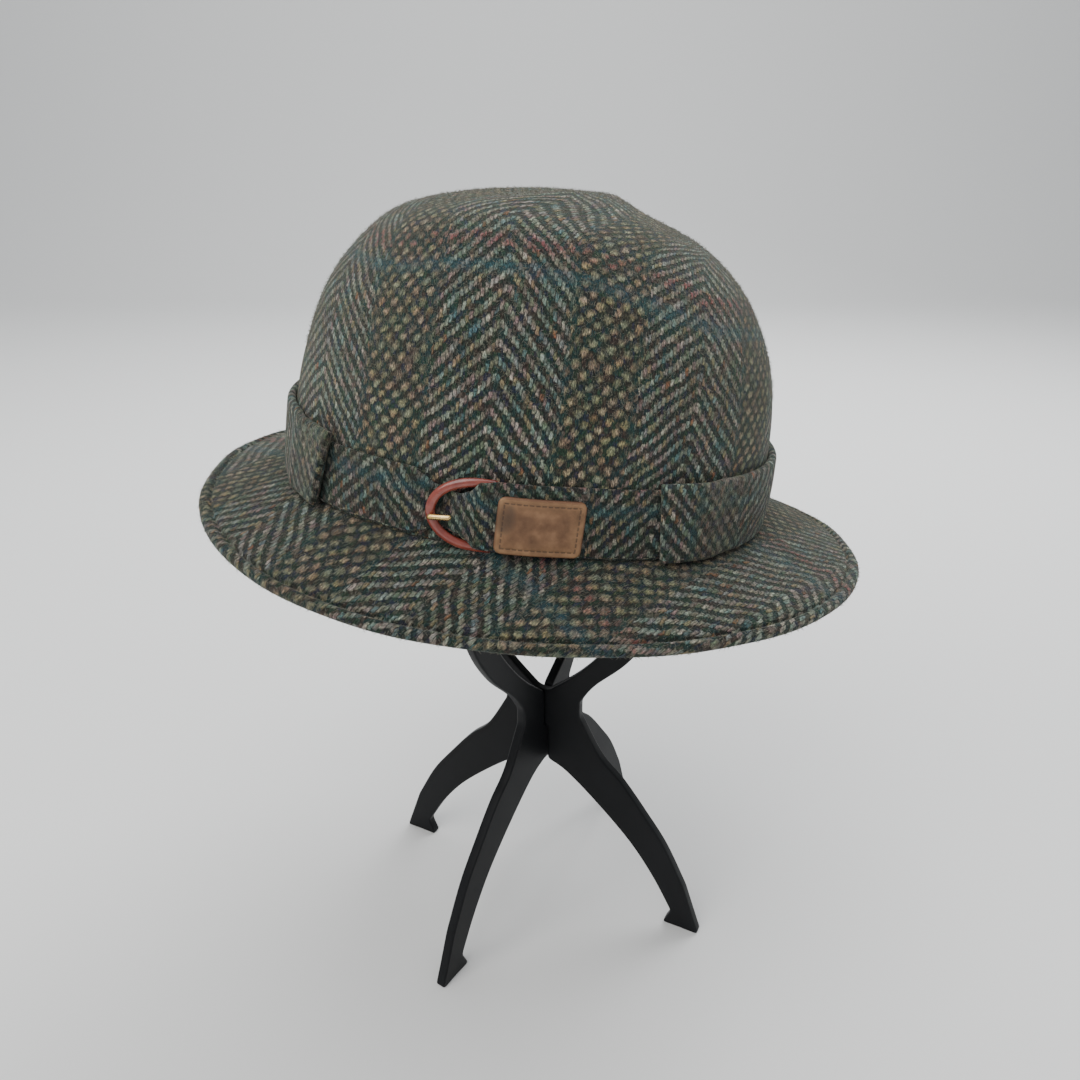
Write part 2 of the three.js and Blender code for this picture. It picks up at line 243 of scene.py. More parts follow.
# Woven from the cloth's own millimetres: in a herringbone column a light dash shows where
# (pick + yarns from the column's middle) mod 4 is under the light picks, and the columns between carry dots
# set in alternate rows. Each dash takes its own yarn colour; thin coloured lines cross the cloth.
def makeTweedGroup():
    cloth = tweedCloth
    tree, given, result = newGroup(
        "tweedWeave",
        [("Cloth", "vector", None), ("Column Shift", "value", 0.0), ("Row Shift", "value", 0.0),
         ("Wander", "value", 1.0), ("Dot Share", "value", 1.0), ("Tone", "value", 1.0)],
        [("Color", "colour"), ("Height", "value"), ("Roughness", "value")],
    )
    link = tree.links.new
    plus, minus, times, over, timesPlus, power, positive, floor, fraction, remainder = (
        partial(calc, tree, operation) for operation in (
            "ADD", "SUBTRACT", "MULTIPLY", "DIVIDE", "MULTIPLY_ADD",
            "POWER", "ABSOLUTE", "FLOOR", "FRACT", "FLOORED_MODULO",
        )
    )

    # yarns never lie quite straight: place + (noise - 0.5) reach, in both directions
    def wander(place, size, reach):
        noise = addNoise(tree, place, size, 1.0)
        shift = tree.nodes.new("ShaderNodeVectorMath")
        shift.operation = "MULTIPLY_ADD"
        link(noise.outputs["Color"], shift.inputs[0])
        scale = tree.nodes.new("ShaderNodeCombineXYZ")
        half = tree.nodes.new("ShaderNodeCombineXYZ")
        for axis in range(2):
            link(times(given["Wander"], reach), scale.inputs[axis])
            link(times(given["Wander"], -reach / 2), half.inputs[axis])
        link(scale.outputs[0], shift.inputs[1])
        link(half.outputs[0], shift.inputs[2])
        add = tree.nodes.new("ShaderNodeVectorMath")
        add.operation = "ADD"
        link(place, add.inputs[0])
        link(shift.outputs[0], add.inputs[1])
        return add.outputs[0]

    # fine hairs lie slantwise over the yarns
    lay = tree.nodes.new("ShaderNodeMapping")
    lay.inputs["Rotation"].default_value = (0.0, 0.0, math.radians(18.0))
    lay.inputs["Scale"].default_value = (1.9, 0.5, 1.0)
    link(given["Cloth"], lay.inputs["Vector"])
    fibre = addNoise(tree, lay.outputs[0], 1.0, 3.0, 0.65).outputs["Fac"]
    fine = tree.nodes.new("ShaderNodeMapping")
    fine.inputs["Rotation"].default_value = (0.0, 0.0, math.radians(24.0))
    fine.inputs["Scale"].default_value = (2.3, 0.8, 1.0)
    link(given["Cloth"], fine.inputs["Vector"])
    fineFibre = addNoise(tree, fine.outputs[0], 1.0, 2.0, 0.6).outputs["Fac"]

    place = wander(wander(given["Cloth"], 0.07, 3.4), 0.6, 1.35)
    split = tree.nodes.new("ShaderNodeSeparateXYZ")
    link(place, split.inputs[0])
    across = plus(split.outputs[0], given["Column Shift"])
    up = plus(split.outputs[1], given["Row Shift"])

    columnNumber = floor(over(across, cloth["repeat"]))
    column = remainder(across, cloth["repeat"])
    inHerring = calc(tree, "LESS_THAN", column, cloth["herringWidth"])
    inDots = times(minus(1.0, inHerring), given["Dot Share"])

    # herringbone dashes
    fromPeak = minus(column, cloth["herringWidth"] / 2)
    yarn = over(positive(fromPeak), cloth["warpPitch"])
    yarnNumber = floor(yarn)
    yarnPart = fraction(yarn)
    pick = plus(over(up, cloth["weftPitch"]), yarnNumber)
    pick = plus(pick, times(yarnPart, cloth["slant"]))
    phase = over(remainder(pick, 4.0), cloth["lightPicks"])
    dashUp = power(positive(timesPlus(phase, 2.0, -1.0)), 3.0)
    dashAcross = power(positive(timesPlus(yarnPart, 2.0, -1.0)), 3.0)
    dash = times(minus(1.0, dashUp, clamp=True), timesPlus(dashAcross, -0.85, 1.0, clamp=True))
    dash = times(dash, 1.3, clamp=True)
    side = times(calc(tree, "GREATER_THAN", fromPeak, 0.0), 41.0)
    dashColumn = plus(plus(yarnNumber, side), times(columnNumber, 97.0))
    dashRow = floor(over(pick, 4.0))

    # dots in two interlaced sets, the second half a step up and across, wider above than below
    ragged = timesPlus(fibre, 2.6, -0.3)  # their edges are hairy

    # inside where (x / width)^2 + (y / 2)^2 is under the ragged edge; also the dot's own file and row
    def dotSet(step):
        files = plus(over(column, cloth["dotAcross"]), step)
        rows = plus(over(up, cloth["dotUp"]), step)
        dotX = times(minus(fraction(files), 0.5), cloth["dotAcross"])
        dotY = times(minus(fraction(rows), 0.5), cloth["dotUp"])
        dotX = timesPlus(dotY, -0.2, dotX)
        wide = power(positive(over(dotX, timesPlus(dotY, 0.2, 1.75))), 2.0)
        tall = power(positive(over(dotY, 2.0)), 2.0)
        inside = times(minus(ragged, plus(wide, tall)), 1.25, clamp=True)
        return inside, timesPlus(floor(files), 2.0, 2.0 * step), floor(rows)

    firstDot, firstFile, firstRow = dotSet(0.0)
    nextDot, nextFile, nextRow = dotSet(0.5)
    useNext = calc(tree, "GREATER_THAN", nextDot, firstDot)
    dot = calc(tree, "MAXIMUM", firstDot, nextDot)
    dotFile = timesPlus(minus(nextFile, firstFile), useNext, firstFile)
    dotRow = timesPlus(minus(nextRow, firstRow), useNext, firstRow)
    dotColumn = timesPlus(columnNumber, 53.0, dotFile)

    # first + (second - first) where the dots are
    def choose(first, second):
        gap = minus(second, first)
        return timesPlus(gap, inDots, first)

    light = choose(dash, dot)
    name = tree.nodes.new("ShaderNodeCombineXYZ")
    link(choose(dashColumn, dotColumn), name.inputs[0])
    link(choose(dashRow, dotRow), name.inputs[1])
    link(inDots, name.inputs[2])
    fleck = tree.nodes.new("ShaderNodeTexWhiteNoise")
    link(name.outputs[0], fleck.inputs["Vector"])
    lightYarn = addRamp(tree, fleck.outputs["Value"], cloth["lightYarns"], stepped=True)
    chances = tree.nodes.new("ShaderNodeSeparateColor")
    link(fleck.outputs["Color"], chances.inputs[0])
    bright = timesPlus(chances.outputs[1], 0.85, 0.6)  # some dashes sink into the cloth

    # dark ground of short lengths of yarn
    ground = tree.nodes.new("ShaderNodeCombineXYZ")
    link(floor(over(across, 1.3)), ground.inputs[0])
    link(floor(over(up, 2.6)), ground.inputs[1])
    groundNoise = tree.nodes.new("ShaderNodeTexWhiteNoise")
    link(ground.outputs[0], groundNoise.inputs["Vector"])
    darkYarn = addRamp(tree, groundNoise.outputs["Value"], cloth["darkYarns"], stepped=True)

    # coloured lines: rust and blue picks across, dark teal ends beside the dots
    check = remainder(up, cloth["checkRepeat"])

    # 1 - (distance from the middle / half)^4, not under 0
    def line(value, middle, half):
        far = positive(minus(value, middle))
        return minus(1.0, power(over(far, half), 4.0), clamp=True)

    patch = addNoise(tree, given["Cloth"], 0.22, 2.0).outputs["Fac"]
    broken = timesPlus(patch, 3.2, -0.9, clamp=True)  # coloured lines come and go

    rustPart = times(times(line(check, 60.0, 4.6), 0.95), broken)
    bluePart = times(times(line(check, 48.0, 3.6), 0.95), broken)
    tealLeft = line(column, cloth["herringWidth"] + 0.4, 2.0)
    tealRight = line(column, cloth["repeat"] - 1.0, 1.8)
    tealPart = times(calc(tree, "MAXIMUM", tealLeft, tealRight), broken)
    lightYarn = mixColour(tree, times(inDots, 0.6), lightYarn, cloth["dotYarn"])
    lightYarn = mixColour(tree, rustPart, lightYarn, cloth["rust"])
    lightYarn = mixColour(tree, times(bluePart, 0.75), lightYarn, cloth["paleBlue"])
    darkYarn = mixColour(tree, bluePart, darkYarn, cloth["blue"])
    darkYarn = mixColour(tree, times(tealPart, 0.8), darkYarn, cloth["teal"])
    light = times(light, timesPlus(tealPart, -0.6, 1.0))

    # the hairs blur the yarns, and pale ones stray over the dark ground
    stray = timesPlus(fibre, 2.6, -1.25, clamp=True)
    cover = times(light, timesPlus(fibre, 1.9, -0.12, clamp=True))
    cover = times(times(cover, bright), timesPlus(patch, 0.9, 0.55), clamp=True)
    cover = calc(tree, "MAXIMUM", cover, times(stray, 0.38))
    colour = mixColour(tree, cover, darkYarn, lightYarn)
    speck = addRamp(tree, fineFibre, cloth["specks"])
    colour = mixColour(tree, 1.0, colour, speck, "MULTIPLY")
    tint = addRamp(tree, addNoise(tree, given["Cloth"], 0.12, 2.0).outputs["Fac"], cloth["tints"])
    colour = mixColour(tree, 0.85, colour, tint, "MULTIPLY")
    # the whole piece darkened by one factor: painted shade, deepest on the brim, strap and band
    paintedShadeNode = tree.nodes.new("ShaderNodeCombineXYZ")
    for axis in range(3):
        link(given["Tone"], paintedShadeNode.inputs[axis])
    colour = mixColour(tree, 1.0, colour, paintedShadeNode.outputs[0], "MULTIPLY")
    link(colour, result["Color"])
    height = timesPlus(fibre, 0.6, times(light, 0.8))
    height = timesPlus(fineFibre, 0.35, height)
    link(height, result["Height"])
    link(timesPlus(fibre, 0.2, 0.76, clamp=True), result["Roughness"])
    return tree


# fine moulded or leathery unevenness on object coordinates
def makeGrainGroup():
    tree, given, result = newGroup(
        "surfaceGrain",
        [("Place", "vector", None), ("Grain Size", "value", 1000.0), ("Cloud Size", "value", 40.0)],
        [("Grain", "value"), ("Cloud", "value")],
    )
    grain = addNoise(tree, given["Place"], 1.0, 3.0, 0.6)
    cloud = addNoise(tree, given["Place"], 1.0, 3.0, 0.55)
    tree.links.new(given["Grain Size"], grain.inputs["Scale"])
    tree.links.new(given["Cloud Size"], cloud.inputs["Scale"])
    tree.links.new(grain.outputs["Fac"], result["Grain"])
    tree.links.new(cloud.outputs["Fac"], result["Cloud"])
    return tree


# a new material, with its node tree and its one shader
def newMaterial(name):
    material = bpy.data.materials.new(name)
    material.use_nodes = True
    tree = material.node_tree
    shader = next(node for node in tree.nodes if node.type == "BSDF_PRINCIPLED")
    return material, tree, shader


# a group node with some inputs set; an underscore in a label stands for a space
def useGroup(tree, group, **values):
    node = tree.nodes.new("ShaderNodeGroup")
    node.node_tree = group
    for label, value in values.items():
        node.inputs[label.replace("_", " ")].default_value = value
    return node


# plain shader values by the names of their inputs
def setLook(shader, values):
    for label, value in values.items():
        shader.inputs[label].default_value = value


# the height times the depth in metres tilts the shader's normal
def addBump(tree, shader, height, depth, strength=1.0):
    bump = tree.nodes.new("ShaderNodeBump")
    bump.inputs["Distance"].default_value = depth
    bump.inputs["Strength"].default_value = strength
    tree.links.new(height, bump.inputs["Height"])
    tree.links.new(bump.outputs["Normal"], shader.inputs["Normal"])


# the cloth millimetres that each mesh carries
def clothCoordinates(tree):
    node = tree.nodes.new("ShaderNodeUVMap")
    node.uv_map = "cloth"
    return node.outputs["UV"]


tweedGroup = makeTweedGroup()
grainGroup = makeGrainGroup()


# the grain group on object coordinates, with its two sizes in 1/m
def objectGrain(tree, grainSize, cloudSize):
    grain = useGroup(tree, grainGroup, Grain_Size=grainSize, Cloud_Size=cloudSize)
    tree.links.new(tree.nodes.new("ShaderNodeTexCoord").outputs["Object"], grain.inputs["Place"])
    return grain


# woolly tweed: the weave's colour and height, with a soft sheen from its raised fibres
def makeTweed(name, **values):
    material, tree, shader = newMaterial(name)
    weave = useGroup(tree, tweedGroup, **values)
    tree.links.new(clothCoordinates(tree), weave.inputs["Cloth"])
    tree.links.new(weave.outputs["Color"], shader.inputs["Base Color"])
    tree.links.new(weave.outputs["Roughness"], shader.inputs["Roughness"])
    addBump(tree, shader, weave.outputs["Height"], 0.0011, 0.9)
    setLook(shader, {
        "Specular IOR Level": 0.18,
        "Sheen Weight": 0.2,
        "Sheen Roughness": 0.45,
        "Sheen Tint": (0.80, 0.84, 0.74, 1.0),
    })
    return material


# one cloth on every piece; the brim, band and strap are darker copies of it: painted shade
crownTweed = makeTweed("crownTweed", Column_Shift=44.0, Row_Shift=43.0, Tone=0.95)
brimTweed = makeTweed("brimTweed", Column_Shift=55.0, Row_Shift=20.0, Tone=0.73)
bandTweed = makeTweed("bandTweed", Column_Shift=60.0, Row_Shift=0.0, Dot_Share=0.5, Tone=0.84)
strapTweed = makeTweed("strapTweed", Column_Shift=82.0, Row_Shift=30.0, Dot_Share=0.0, Tone=0.76)
print("cloth woven")


# loose hairs share one dull yarn colour
def woolMaterial():
    material, _, shader = newMaterial("looseWool")
    setLook(shader, {
        "Base Color": (0.180, 0.175, 0.140, 1.0),
        "Roughness": 0.9,
        "Specular IOR Level": 0.1,
    })
    return material


fuzz = {"shortest": 0.6, "longest": 2.2, "radius": 0.09, "rise": 0.5}
looseWool = woolMaterial()


# Hairs are three-sided needles: a small triangle round a random spot of the cloth,
# and a tip that rises and leans its own way
def addFuzz(name, grid, cloth, count, seed):
    chance = np.random.default_rng(seed)
    face = np.cross(grid[:-1, 1:] - grid[:-1, :-1], grid[1:, :-1] - grid[:-1, :-1])
    area = np.linalg.norm(face, axis=-1)
    spot = chance.choice(area.size, count, p=area.ravel() / area.sum())
    row, column = np.divmod(spot, area.shape[1])
    right, down = chance.random((2, count, 1))
    corner = grid[row, column]
    foot = corner + right * (grid[row, column + 1] - corner) + down * (grid[row + 1, column] - corner)
    out = (face / np.maximum(area, 1e-9)[..., None])[row, column]
    out = out * np.sign(np.sum(face * (grid[:-1, :-1] - grid.mean((0, 1)))))  # away from the cloth's inside
    lean = np.cross(out, chance.normal(size=(count, 3)))
    lean /= np.linalg.norm(lean, axis=1, keepdims=True)
    way = out * chance.uniform(0.1, 2 * fuzz["rise"], (count, 1)) + lean
    way /= np.linalg.norm(way, axis=1, keepdims=True)
    first = np.cross(way, out + 0.3 * lean)
    first /= np.linalg.norm(first, axis=1, keepdims=True)
    second = np.cross(way, first)
    turn = np.arange(3)[None, :, None] * 2 * math.pi / 3
    ring = foot[:, None] + fuzz["radius"] * (first[:, None] * np.cos(turn) + second[:, None] * np.sin(turn))
    tip = foot + way * chance.uniform(fuzz["shortest"], fuzz["longest"], (count, 1))
    points = np.concatenate([ring, tip[:, None]], 1)
    needle = np.array([[0, 2, 1], [0, 1, 3], [1, 2, 3], [2, 0, 3]])
    faces = (needle[None] + 4 * np.arange(count)[:, None, None]).reshape(-1, 3)
    mesh = bpy.data.meshes.new(name)
    mesh.from_pydata((points.reshape(-1, 3) * mm).tolist(), [], faces.tolist())
    marks = np.repeat(cloth[row, column] + np.stack([right[:, 0], down[:, 0]], -1), 12, axis=0)
    mesh.uv_layers.new(name="cloth").data.foreach_set("uv", marks.astype(np.float32).ravel())
    mesh.materials.append(looseWool)
    piece = bpy.data.objects.new(name, mesh)
    bpy.context.scene.collection.objects.link(piece)
    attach(piece, "root")
    print("piece", name, len(faces), "triangles")


# The crown: ovals through a table of sections (height, half length, half width, shift), closed at the top
crown = {
    "wall": 2.5,
    "ovalPower": 2.2,
    "rows": 130,
    "insideRows": 36,
    "fuzzFrom": 30,
    "flatTop": (26.0, 64.0),  # the cloth lies flat inside the first radius
    "hairs": 26000,
    "columns": 360,
    "sections": [
        (0, 104, 87.5, -1), (33, 103, 86.5, -1), (57, 99, 83.5, -1), (79, 91, 78, -2), (97, 78.5, 69, -2.5),
        (110, 62, 57, -4), (118, 38.5, 41, -3.5), (123, 16.5, 23, 6), (125, 0, 0, 15),
    ],
    # swells: count round, count up, depth, start
    "dents": [(2, 1.1, 0.7, 0.6), (3, 2.3, 0.55, 2.0), (5, 1.6, 0.35, 4.1), (8, 3.4, 0.22, 1.2)],
    "sag": (0.003, 65.0, 105.0),  # the rows drop towards the ends: how much, up to where, at what height
    "shear": (0.045, 10.0, 0.07),  # lean of the columns, the height it starts from, climb of the rows
}


# sign(v) |v|^(2 / power): bends a circle's sine or cosine into the oval's
def ovalBend(value):
    return np.sign(value) * np.abs(value) ** (2 / crown["ovalPower"])


# x = a cos^p, y = b sin^p on each section, moved in along the side line's normal by the inset
def crownSurface(part, angle, inset):
    height, halfLength, halfWidth, shift = smoothRows(crown["sections"], part).T
    ahead = smoothRows(crown["sections"], part + 1e-3) - smoothRows(crown["sections"], part - 1e-3)
    run = np.hypot(ahead[:, 0], ahead[:, 2])
    inwards = inset * ahead[:, 0] / run
    lift = inset * ahead[:, 2] / run
    x = np.outer(np.maximum(halfLength - inwards, 0), ovalBend(np.cos(angle))) + shift[:, None]
    y = np.outer(np.maximum(halfWidth - inwards, 0), ovalBend(np.sin(angle)))
    return np.stack([x, y, np.broadcast_to((height + lift)[:, None], x.shape)], -1)


# slow swells that fade out at the band and at the top: a sum of sines round and up the crown
def softSwell(part, angle, waves):
    around, way = np.meshgrid(angle, part)
    swell = sum(
        depth * np.sin(count * around + start) * np.sin(math.pi * rise * way + start)
        for count, rise, depth, start in waves
    )
    return swell * easeStep(way, 0.16, 0.34) * (1 - easeStep(way, 0.85, 1.0))


# cloth millimetres on the crown: the way round from the middle of each long side, and the way up;
# on the flat top they ease into plain x and the way in from the side
def crownCloth(points):
    around = runningLength(points, 1)
    total = around[:, -1:]
    part = around / np.maximum(total, 1e-9)
    across = total * np.where(part < 0.25, part, np.where(part < 0.75, 0.5 - part, part - 1))
    up = runningLength(points, 0)
    much, reach, height = crown["sag"]
    sag = much * np.minimum(np.abs(across), reach) ** 2 * up / height
    fromPole = points[..., 0] - points[-1, 0, 0]
    onTop = 1 - easeStep(np.hypot(fromPole, points[..., 1]), *crown["flatTop"])
    across = across + onTop * (fromPole - across)
    up = up + sag + onTop * (up[-1, 0] - np.abs(points[..., 1]) - up - sag)
    lean, leanFrom, climb = crown["shear"]
    return np.stack([across - lean * (up - leanFrom), up + climb * across], -1)


# the outside with its swells along the normals, the inside one wall in, and the foot that joins them
def makeCrown():
    angle = np.linspace(-0.5 * math.pi, 1.5 * math.pi, crown["columns"] + 1)
    angle[-1] = angle[0]
    part = np.linspace(0, 1, crown["rows"])
    outside = crownSurface(part, angle, 0)
    around = np.linspace(0, 2 * math.pi, len(angle))
    outside = outside + gridNormals(outside) * softSwell(part, around, crown["dents"])[..., None]
    outside[-1] = outside[-1, 0]
    outside[:, -1] = outside[:, 0]
    inside = crownSurface(np.linspace(0, 1, crown["insideRows"]), angle, crown["wall"])
    foot = np.stack([outside[0], inside[0]])
    grids = [(outside, crownCloth(outside)), (inside, crownCloth(inside)), (foot, crownCloth(foot))]
    addPiece("crown_cloth", "crown", crownTweed, [(placeHat(grid), cloth) for grid, cloth in grids])
    above = slice(crown["fuzzFrom"], None)  # none under the band
    addFuzz("crown_fuzz", placeHat(outside[above]), crownCloth(outside)[above], crown["hairs"], 11)


makeCrown()

# The brim: straight slope from the crown's foot to a waved rim, with a padded hem inside a stitched groove
brim = {
    "halfLength": 147,
    "halfWidth": 124,
    "shift": 4,
    "drop": 17,
    "thickness": 3,
    "waves": [(1, 0, -2.4), (2, 5, -3.6)],  # count, cosine, sine
    "underWall": 2.2,  # it reaches this far in under the crown's wall
    "hem": 5.0,
    "seamLift": 0.29,
    "hemPuff": 0.7,
    "groove": 1.2,
    "pull": (40.0, 20.0, 0.03),  # the rim is flatter at the back right: where, how far round, how much
    "bias": 48.0,  # the cloth's columns lie at this angle to X
    "stretch": 1.1,
    "columns": 480,
    "slopeRows": 46,
    "hairs": 26000,
}


# an oval read at equal lengths of its way round, from the middle of the buckle side to +X
def ovalAt(part, halfLength, halfWidth):
    angle = np.linspace(-0.5 * math.pi, 1.5 * math.pi, 4001)
    fine = np.stack([halfLength * ovalBend(np.cos(angle)), halfWidth * ovalBend(np.sin(angle))], -1)
    length = runningLength(fine, 0)
    place = np.mod(part, 1) * length[-1]
    return np.stack([np.interp(place, length, fine[:, 0]), np.interp(place, length, fine[:, 1])], -1)


# a profile (distance in from the rim, height over the middle) carried round the brim's slope lines
def makeBrim():
    part = np.linspace(0, 1, brim["columns"] + 1)
    turn = 2 * math.pi * part - 0.5 * math.pi
    half = brim["thickness"] / 2
    foot = ovalAt(part, crown["sections"][0][1], crown["sections"][0][2]) + [crown["sections"][0][3], 0]
    where, spread, much = brim["pull"]
    pull = 1 - much * np.exp(-((np.degrees(turn) - where) / spread) ** 2)
    rim = ovalAt(part, brim["halfLength"], brim["halfWidth"]) * pull[:, None] + [brim["shift"], 0]
    rimHeight = -brim["drop"] + sum(c * np.cos(n * turn) + s * np.sin(n * turn) for n, c, s in brim["waves"])
    start = np.concatenate([foot, np.full((len(part), 1), -0.3 - half)], 1)
    end = np.concatenate([rim, rimHeight[:, None] - half], 1)
    slope = end - start
    length = np.linalg.norm(slope, axis=1)
    out = slope / length[:, None]
    flat = slope * [1, 1, 0] / np.linalg.norm(slope[:, :2], axis=1)[:, None]
    upward = np.stack([-out[:, 2] * flat[:, 0], -out[:, 2] * flat[:, 1], np.hypot(out[:, 0], out[:, 1])], -1)

    hem = brim["hem"]
    down = np.linspace(1, 0, brim["slopeRows"])[:, None] * (length - hem - 1.2)[None] + hem + 1.2
    topIn = np.concatenate([length[None] + brim["underWall"], down])
    arc = np.linspace(0, math.pi, 24)
    hemIn = np.concatenate([np.linspace(hem + 1.0, half, 26), half * (1 - np.sin(arc[1:-1]))])
    hemUp = np.concatenate([np.full(26, half), half * np.cos(arc[1:-1])])
    underIn = np.linspace(0, 1, 20)[:, None] * (length - half)[None] + half
    hemRows = np.repeat(hemIn[:, None], len(part), 1)
    inward = np.concatenate([topIn, hemRows, underIn, length[None] + brim["underWall"], topIn[:1]])
    over = np.concatenate([np.full(len(topIn), half), hemUp, np.full(len(underIn) + 1, -half), [half]])
    over = over[:, None] * np.ones(len(part))
    top = over > 0.2 * half
    groove = -brim["groove"] * np.exp(-(((inward - hem) / 0.75) ** 2))
    puff = brim["hemPuff"] * np.clip(1 - ((inward - hem / 2) / (hem / 2)) ** 2, 0, 1)
    swell = 0.5 * np.sin(5 * turn + 1) * np.sin(math.pi * np.clip(inward / length, 0, 1))
    swell = swell + 0.25 * np.sin(17 * turn) * np.exp(-inward / 8)
    seam = brim["seamLift"] * easeStep(inward - length, -3, -0.5)  # sewn tight to the crown's foot
    over = over + np.where(top, groove + puff + seam, -0.4 * puff) + swell

    shelf = np.clip(inward - length, 0, None)  # the part under the crown's wall lies level
    slant = np.minimum(inward, length)
    grid = end - out * slant[..., None] - flat * shelf[..., None] + upward * over[..., None]
    grid[:, -1] = grid[:, 0]
    way = runningLength(grid, 0)
    spread = start[:, :2] + flat[:, :2] * (way - brim["underWall"])[..., None]
    angle = math.radians(brim["bias"])
    cloth = np.stack([
        spread[..., 0] * math.sin(angle) - spread[..., 1] * math.cos(angle),
        spread[..., 0] * math.cos(angle) + spread[..., 1] * math.sin(angle),
    ], -1) / brim["stretch"]
    addPiece("brim_cloth", "brim", brimTweed, [(placeHat(grid), cloth)])
    addFuzz("brim_fuzz", placeHat(grid), cloth, brim["hairs"], 12)


makeBrim()


# the crown's oval at the seam with its running length, and the side line above it
wallOval = np.array(crown["sections"][0][1:3], float)
wallSpots = ovalAt(np.linspace(0, 1, 4001)[:-1], *wallOval)
wallSpots = np.vstack([wallSpots, wallSpots[:1]])
wallRun = runningLength(wallSpots, 0)
wallLength = wallRun[-1]
sideLine = smoothRows(crown["sections"], np.linspace(0, 0.5, 800))


# A point on the upright wall of the crown: along it from the middle of the buckle side, above the seam,
# and out from it along the oval's normal, less what the wall has drawn in at that height
def onWall(along, height, offset):
    along, height, offset = np.broadcast_arrays(along, height, offset)
    place = np.mod(along, wallLength)
    tangent = np.gradient(wallSpots, axis=0)
    tangent[[0, -1]] = [1, 0]
    tangent /= np.linalg.norm(tangent, axis=1)[:, None]
    x, y, tx, ty = (np.interp(place, wallRun, values) for values in (*wallSpots.T, *tangent.T))
    size = np.hypot(tx, ty)
    out = offset - (wallOval[1] - np.interp(height, sideLine[:, 0], sideLine[:, 2]))
    return np.stack([x + ty / size * out + crown["sections"][0][3], y - tx / size * out, height], -1)


# A flattened loop of cloth: up the outside, over the top, down the inside and back under.
# Gives the loop's place across its thickness (-1 to 1), its rise (0 to 1) and its roundings.
def foldLoop(outsideRows, insideRows, arcRows):
    arc = np.linspace(0, math.pi, arcRows)[1:-1]
    across = np.concatenate([np.ones(outsideRows), np.cos(arc), -np.ones(insideRows), -np.cos(arc), [1]])
    upward, downward = np.linspace(0, 1, outsideRows), np.linspace(1, 0, insideRows)
    rise = np.concatenate([upward, np.ones(len(arc)), downward, np.zeros(len(arc)), [0]])
    roundUp = np.concatenate([np.zeros(outsideRows), np.sin(arc), np.zeros(insideRows), -np.sin(arc), [0]])
    return across[:, None], rise[:, None], roundUp[:, None]


# The band: a folded strip that goes the long way round, each end lapped over the strap
band = {
    "low": 0.3,
    "high": 32.0,
    "thickness": 3.6,
    "rightEnd": (51.0, 46.0),  # at the seam and at the top
    "leftEnd": (-85.0, -78.0),
    "lapFlat": 20.0,
    "lapRamp": 12.0,
    "lapLift": 1.9,
    "leftGape": 1.6,
    "gapeRun": 16.0,
    "puff": 0.35,
    "stations": 420,
}


# out from the wall: gap + lap lift + gape + half, and (place across) half to either side of that
def makeBand():
    across, rise, roundUp = foldLoop(22, 8, 11)
    half = band["thickness"] / 2
    part = np.linspace(0, 1, band["stations"])
    part = part - 0.13 * np.sin(2 * math.pi * part)  # closer stations near the ends
    height = band["low"] + half + rise * (band["high"] - band["low"] - 2 * half) + roundUp * half
    lean = height / band["high"]
    first = band["rightEnd"][0] + (band["rightEnd"][1] - band["rightEnd"][0]) * lean
    last = wallLength + band["leftEnd"][0] + (band["leftEnd"][1] - band["leftEnd"][0]) * lean
    along = first + (last - first) * part
    toEnd = np.minimum(part, 1 - part) * (last - first)
    lap = 1 - easeStep(toEnd, band["lapFlat"], band["lapFlat"] + band["lapRamp"])
    close = np.sqrt(np.clip(1 - (1 - np.clip(toEnd / 1.6, 0, 1)) ** 2, 0, 1))  # the folded ends are round
    puff = band["puff"] * np.sin(math.pi * rise) * (across > 0)
    swell = 0.22 * np.sin(along / 17 + 2 * rise) * np.sin(math.pi * rise) * (across > 0)
    toLeft = (1 - part) * (last - first)
    gape = band["leftGape"] * (1 - easeStep(toLeft, 0, band["gapeRun"]))  # the left end stands off the strap
    offset = 0.3 + lap * band["lapLift"] + gape + half + across * half * close + (puff + swell) * close
    grid = onWall(along, height, offset)
    run = runningLength(grid, 1)
    cloth = np.stack([first + (last - first) * run / run[:, -1:], runningLength(grid, 0)], -1)
    addPiece("band_cloth", "hat_band", bandTweed, [(placeHat(grid), cloth)])


makeBand()

# The strap between the band's ends: along it, its offset from the crown, lower edge and upper edge
strap = {
    "thickness": 1.6,
    "rows": [
        (-92, 0.3, 1.5, 26.5), (-44, 0.3, 1.5, 27), (-34, 0.3, 5, 22.2), (-30, 0.3, 5.8, 21.4),
        (-25, 3, 5.8, 21.4), (-22, 4.2, 4.5, 23), (-18, 4.3, 1.5, 27), (-11, 3.4, 1, 28),
        (26, 0.3, 1, 28.5), (60, 0.3, 1, 29),
    ],
    "stations": 330,
}


# the table's rows, eased from one to the next
def strapAt(along):
    table = np.array(strap["rows"], float)
    after = np.clip(np.searchsorted(table[:, 0], along), 1, len(table) - 1)
    part = easeStep(along, table[after - 1, 0], table[after, 0])[..., None]
    return np.moveaxis(table[after - 1, 1:] * (1 - part) + table[after, 1:] * part, -1, 0)


